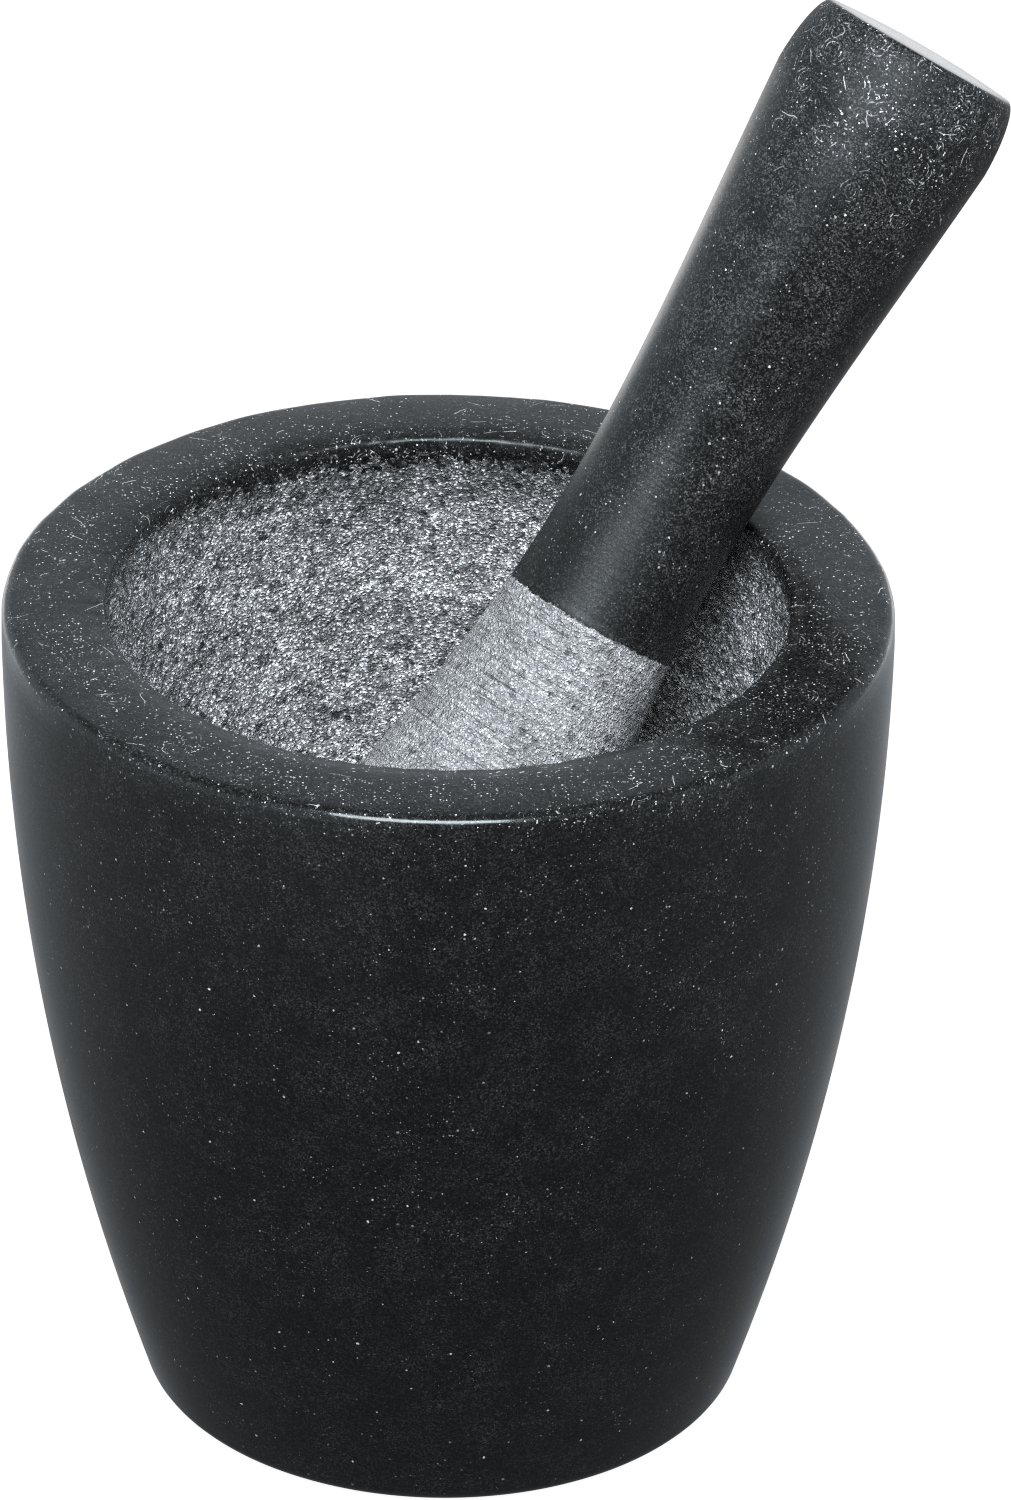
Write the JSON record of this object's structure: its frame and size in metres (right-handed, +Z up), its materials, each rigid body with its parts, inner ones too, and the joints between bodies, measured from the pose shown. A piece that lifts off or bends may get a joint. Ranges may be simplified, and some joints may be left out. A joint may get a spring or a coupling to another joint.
{
  "type": "mortar and pestle",
  "caption": "Tall turned stone mortar with a deep pecked bowl and a polished outside; a pestle with a rough flared head stands in it and lifts out, for grinding spices.",
  "frame": {"origin": "centre of the mortar's flat base, on the surface it stands on", "axes": "+Z up along the mortar's axis; -Y faces the viewer; the pestle leans towards +X and +Y"},
  "size_m": [0.1577, 0.14, 0.2187],
  "materials": {
    "mortar_stone": "dark granite, polished outside and on the rim, pecked and pale grey inside the bowl",
    "pestle_stone": "dark granite, polished on the grip, pecked and pale grey on the head"
  },
  "bodies": {
    "mortar": {"mortar": "mortar_stone"},
    "pestle": {"pestle": "pestle_stone"}
  },
  "joints": [
    {"name": "pestle_lift", "type": "slide", "parent": "mortar", "child": "pestle", "axis": [0, 0, 1], "range_m": [0, 0.12]}
  ]
}
